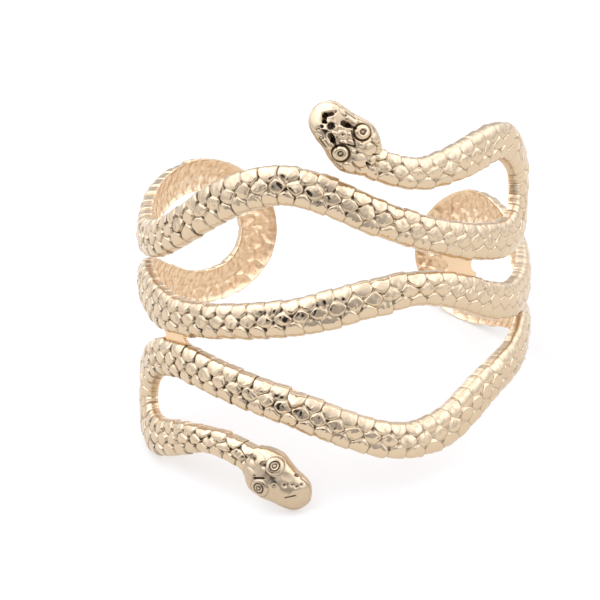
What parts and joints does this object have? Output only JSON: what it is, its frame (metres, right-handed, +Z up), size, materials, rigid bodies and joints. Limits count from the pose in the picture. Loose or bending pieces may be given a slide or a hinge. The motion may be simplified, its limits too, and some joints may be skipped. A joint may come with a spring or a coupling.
{
  "type": "serpent arm cuff",
  "caption": "Open upper-arm cuff cast as a winding scaled serpent with a head at each end, springy gap at the back, gold plated.",
  "frame": {"origin": "on the table, under the middle of the cuff's own box", "axes": "+Z up, the heads and the front strands toward -Y, the back opening toward +Y; the arm's axis leans back 24 degrees as the cuff rests"},
  "size_m": [0.0756, 0.0848, 0.0676],
  "materials": {
    "gold_plate": "pale champagne gold plating, polished outside, hammered and softer inside"
  },
  "bodies": {
    "root": {"serpent_cuff": "gold_plate"}
  },
  "joints": []
}
